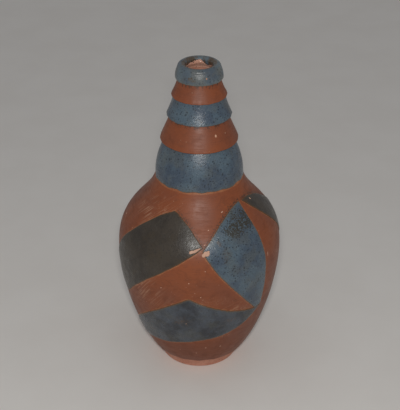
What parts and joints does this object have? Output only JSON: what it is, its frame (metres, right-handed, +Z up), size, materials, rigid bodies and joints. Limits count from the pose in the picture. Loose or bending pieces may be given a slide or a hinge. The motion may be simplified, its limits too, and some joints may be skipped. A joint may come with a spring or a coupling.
{
  "type": "bottle vase",
  "caption": "Red earthenware bottle vase with a round belly, a stepped conical neck and a small mouth, patched with blue and charcoal glaze.",
  "frame": {"origin": "centre of the underside of the foot, where the vase stands", "axes": "+Z up along the vase's axis, -Y towards the front with the blue sail and crescent patches, +X to the front's right"},
  "size_m": [0.1301, 0.1305, 0.2597],
  "materials": {
    "bare_clay": "bare fired red clay, matt and slightly rough",
    "luting_slip": "fired luting slip, matt",
    "red_slip": "burnished red slip with a soft sheen",
    "blue_glaze": "speckled satin blue glaze",
    "charcoal_glaze": "matt charcoal glaze"
  },
  "bodies": {
    "root": {"foot_base": "bare_clay", "lower_body": "bare_clay", "upper_body": "bare_clay", "collar": "bare_clay", "lower_step": "bare_clay", "middle_step": "bare_clay", "upper_step": "bare_clay", "rim": "bare_clay", "luting_slip": "luting_slip", "body_slip": "red_slip", "lower_step_slip": "red_slip", "upper_step_slip": "red_slip", "collar_glaze": "blue_glaze", "middle_step_glaze": "blue_glaze", "rim_glaze": "blue_glaze", "charcoal_banner": "charcoal_glaze", "blue_sail": "blue_glaze", "blue_crescent": "blue_glaze", "charcoal_wing": "charcoal_glaze", "blue_back_sail": "blue_glaze", "charcoal_back_crescent": "charcoal_glaze"}
  },
  "joints": []
}
